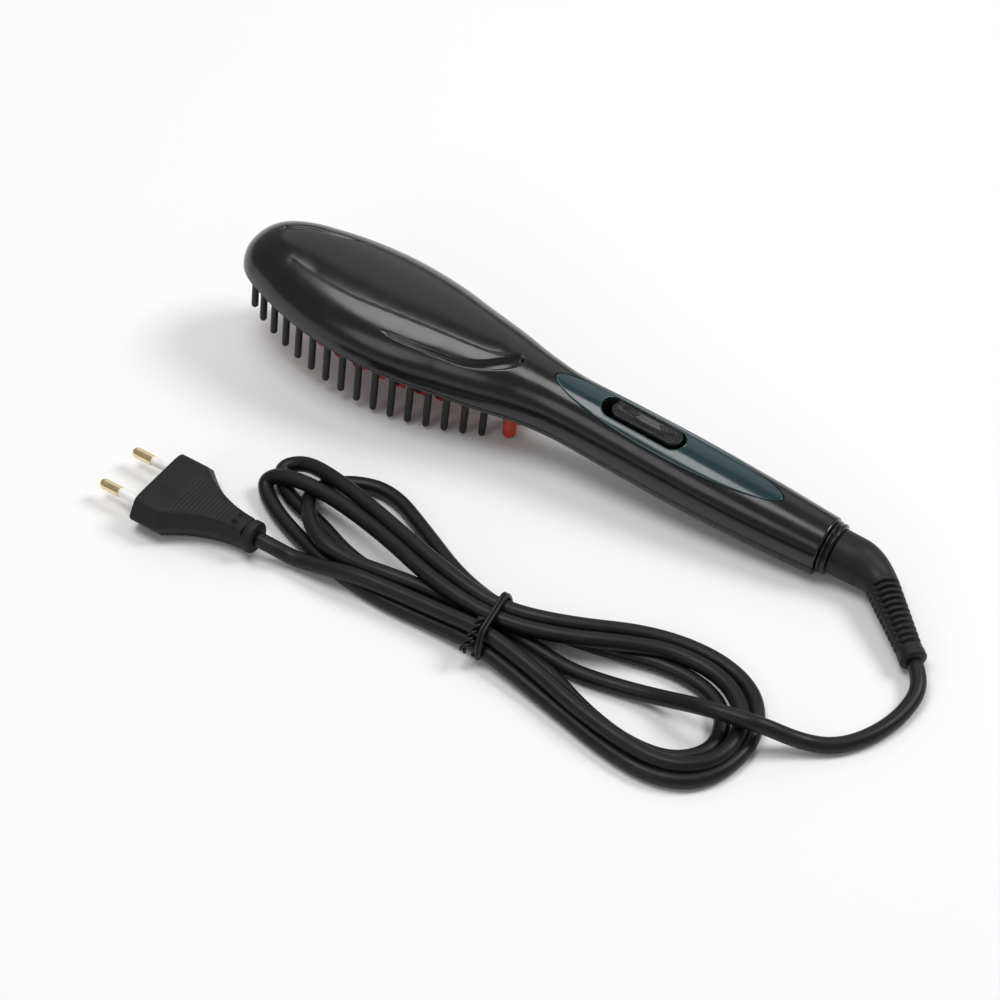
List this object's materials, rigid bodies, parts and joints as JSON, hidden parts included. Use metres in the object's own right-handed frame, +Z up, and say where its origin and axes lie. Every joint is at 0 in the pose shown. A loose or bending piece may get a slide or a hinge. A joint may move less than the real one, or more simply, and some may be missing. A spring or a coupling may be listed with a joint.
{
  "type": "hair straightening brush",
  "caption": "Slim paddle-shaped heated hair straightening brush with heated teeth, cool outer pins, a rocker button on the handle, a swivel cord tied in a hank and a two-pin plug.",
  "frame": {"origin": "on the table under the middle of the brush's bounding box, measured without the cord and its boot", "axes": "+X along the brush from nose to tail, +Y away from the hank, +Z up"},
  "size_m": [0.3013, 0.1445, 0.0484],
  "materials": {
    "casing_black": "gloss",
    "casing_lower": "satin",
    "smoked_lens": "gloss",
    "button_black": "satin",
    "cool_black": "matte",
    "coated_metal": "satin",
    "guard_red": "satin",
    "heater_metal": "plain",
    "heater_ceramic": "matte",
    "spring_steel": "plain",
    "mica": "matte",
    "wire_sleeve": "matte",
    "board_green": "satin",
    "switch_black": "matte",
    "led_white": "gloss",
    "bush_white": "satin",
    "ring_black": "satin",
    "cord_rubber": "matte",
    "tie_black": "satin",
    "pin_brass": "plain",
    "sleeve_white": "satin"
  },
  "bodies": {
    "brush": {"upper_shell": "casing_black", "lower_shell": "casing_lower", "control_lens": "smoked_lens", "pin_frame": "cool_black", "outer_pins": "cool_black", "guard_plate": "cool_black", "heating_teeth": "coated_metal", "tooth_caps": "guard_red", "neck_teeth": "guard_red", "heater_plate": "heater_metal", "thermal_fuse": "heater_metal", "ptc_heaters": "heater_ceramic", "temperature_sensor": "heater_ceramic", "heater_clamp": "spring_steel", "rocker_pivot_pin": "spring_steel", "head_screws": "spring_steel", "housing_screws": "spring_steel", "board_screws": "spring_steel", "insulation_sheet": "mica", "heater_leads": "wire_sleeve", "sensor_wire": "wire_sleeve", "mains_wires": "wire_sleeve", "control_board": "board_green", "tact_switches": "switch_black", "indicator_leds": "led_white", "swivel_bush": "bush_white", "cord_lead": "cord_rubber", "cord_hank": "cord_rubber", "cord_tail": "cord_rubber", "plug_body": "cord_rubber", "cord_tie": "tie_black", "plug_pins": "pin_brass", "pin_sleeves": "sleeve_white"},
    "rocker": {"rocker_button": "button_black"},
    "swivel": {"swivel_ring": "ring_black", "retaining_clip": "spring_steel", "strain_relief": "cord_rubber"}
  },
  "joints": [
    {"name": "rocker_tilt", "type": "hinge", "parent": "brush", "child": "rocker", "pos_m": [0.04528, 0, 0.0254], "axis": [0, 1, 0], "range_deg": [-3.5, 3.5], "stiffness_Nm_per_rad": 0.05},
    {"name": "cord_swivel", "type": "hinge", "parent": "brush", "child": "swivel", "pos_m": [0.11912, 0, 0.01057], "axis": [-0.9943, 0, 0.1063], "continuous": true, "deforming": ["cord_lead"]}
  ]
}
